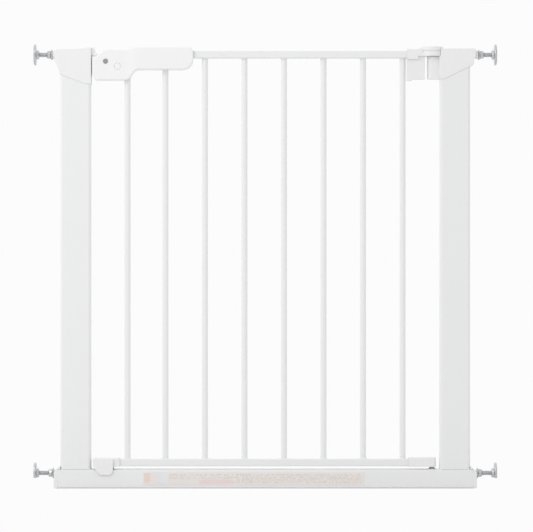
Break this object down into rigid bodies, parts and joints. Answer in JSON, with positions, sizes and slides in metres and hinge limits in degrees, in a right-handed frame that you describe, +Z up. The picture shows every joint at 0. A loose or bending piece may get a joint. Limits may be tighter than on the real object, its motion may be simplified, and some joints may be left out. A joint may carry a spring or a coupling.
{
  "type": "safety gate",
  "caption": "White pressure-fitted safety gate: a steel frame with threaded wall pads and a barred door that opens by sliding a latch, lifting and swinging either way",
  "frame": {"origin": "middle of the base rail's underside, on the floor", "axes": "+X across the doorway towards the hinge side, +Y through the doorway away from the viewer, +Z up"},
  "size_m": [0.7686, 0.038, 0.7375],
  "materials": {
    "painted_steel": "white powder coat, satin",
    "moulded_white": "white moulded plastic, satin",
    "handle_white": "white moulded plastic, semi-gloss",
    "zinc_steel": "bright zinc plate",
    "dark_steel": "dark plated steel",
    "pad_rubber": "matt",
    "label_print": "printed film, pale orange"
  },
  "bodies": {
    "frame": {"left_post": "painted_steel", "right_post": "painted_steel", "base_rail": "painted_steel", "base_corner_left": "moulded_white", "base_corner_right": "moulded_white", "latch_post_cap": "moulded_white", "hinge_post_cap": "moulded_white", "cap_screws": "zinc_steel", "lower_hinge_bush": "moulded_white", "printed_label": "label_print", "spindle_bush_top_left": "moulded_white", "spindle_bush_bottom_left": "moulded_white", "spindle_bush_top_right": "moulded_white", "spindle_bush_bottom_right": "moulded_white"},
    "hinge_pins": {"upper_hinge_pin": "dark_steel", "lower_hinge_pin": "dark_steel"},
    "door": {"door_top_rail": "painted_steel", "door_bottom_rail": "painted_steel", "bar_1": "painted_steel", "bar_2": "painted_steel", "bar_3": "painted_steel", "bar_4": "painted_steel", "bar_5": "painted_steel", "bar_6": "painted_steel", "bar_7": "painted_steel", "bar_8": "painted_steel", "upper_hinge_bracket": "moulded_white", "lower_hinge_shoe": "moulded_white", "lower_catch": "moulded_white", "handle_front_shell": "handle_white", "handle_rear_shell": "handle_white", "handle_screws": "zinc_steel", "guide_rivet": "dark_steel", "screw_cover": "handle_white", "bolt_spring": "zinc_steel", "fitting_screws": "zinc_steel"},
    "latch": {"latch_bolt": "handle_white", "latch_link": "zinc_steel", "thumb_slide": "handle_white"},
    "nut_top_left": {"spindle_nut_top_left": "zinc_steel"},
    "spindle_top_left": {"spindle_rod_top_left": "zinc_steel", "pad_cup_top_left": "zinc_steel", "pad_rubber_top_left": "pad_rubber"},
    "nut_bottom_left": {"spindle_nut_bottom_left": "zinc_steel"},
    "spindle_bottom_left": {"spindle_rod_bottom_left": "zinc_steel", "pad_cup_bottom_left": "zinc_steel", "pad_rubber_bottom_left": "pad_rubber"},
    "nut_top_right": {"spindle_nut_top_right": "zinc_steel"},
    "spindle_top_right": {"spindle_rod_top_right": "zinc_steel", "pad_cup_top_right": "zinc_steel", "pad_rubber_top_right": "pad_rubber"},
    "nut_bottom_right": {"spindle_nut_bottom_right": "zinc_steel"},
    "spindle_bottom_right": {"spindle_rod_bottom_right": "zinc_steel", "pad_cup_bottom_right": "zinc_steel", "pad_rubber_bottom_right": "pad_rubber"}
  },
  "joints": [
    {"name": "door_swing", "type": "hinge", "parent": "frame", "child": "hinge_pins", "pos_m": [0.277, 0, 0.36], "axis": [0, 0, 1], "range_deg": [-95, 95]},
    {"name": "door_lift", "type": "slide", "parent": "hinge_pins", "child": "door", "axis": [0, 0, 1], "range_m": [0, 0.011]},
    {"name": "latch_slide", "type": "slide", "parent": "door", "child": "latch", "axis": [1, 0, 0], "range_m": [0, 0.008], "stiffness_N_per_m": 150, "springref_m": -0.005, "deforming": ["bolt_spring"]},
    {"name": "spindle_travel_top_left", "type": "slide", "parent": "frame", "child": "spindle_top_left", "axis": [-1, 0, 0], "range_m": [-0.0125, 0.014]},
    {"name": "nut_turn_top_left", "type": "hinge", "parent": "frame", "child": "nut_top_left", "pos_m": [-0.358, 0, 0.72], "axis": [1, 0, 0], "range_deg": [-3605, 4037]},
    {"name": "spindle_travel_bottom_left", "type": "slide", "parent": "frame", "child": "spindle_bottom_left", "axis": [-1, 0, 0], "range_m": [-0.0125, 0.014]},
    {"name": "nut_turn_bottom_left", "type": "hinge", "parent": "frame", "child": "nut_bottom_left", "pos_m": [-0.358, 0, 0.025], "axis": [1, 0, 0], "range_deg": [-3605, 4037]},
    {"name": "spindle_travel_top_right", "type": "slide", "parent": "frame", "child": "spindle_top_right", "axis": [1, 0, 0], "range_m": [-0.0125, 0.014]},
    {"name": "nut_turn_top_right", "type": "hinge", "parent": "frame", "child": "nut_top_right", "pos_m": [0.358, 0, 0.72], "axis": [-1, 0, 0], "range_deg": [-3605, 4037]},
    {"name": "spindle_travel_bottom_right", "type": "slide", "parent": "frame", "child": "spindle_bottom_right", "axis": [1, 0, 0], "range_m": [-0.0125, 0.014]},
    {"name": "nut_turn_bottom_right", "type": "hinge", "parent": "frame", "child": "nut_bottom_right", "pos_m": [0.358, 0, 0.025], "axis": [-1, 0, 0], "range_deg": [-3605, 4037]}
  ],
  "couplings": [
    {"joint": "nut_turn_top_left", "follows": "spindle_travel_top_left", "rad_per_m": 5026.6},
    {"joint": "nut_turn_bottom_left", "follows": "spindle_travel_bottom_left", "rad_per_m": 5026.6},
    {"joint": "nut_turn_top_right", "follows": "spindle_travel_top_right", "rad_per_m": 5026.6},
    {"joint": "nut_turn_bottom_right", "follows": "spindle_travel_bottom_right", "rad_per_m": 5026.6}
  ]
}
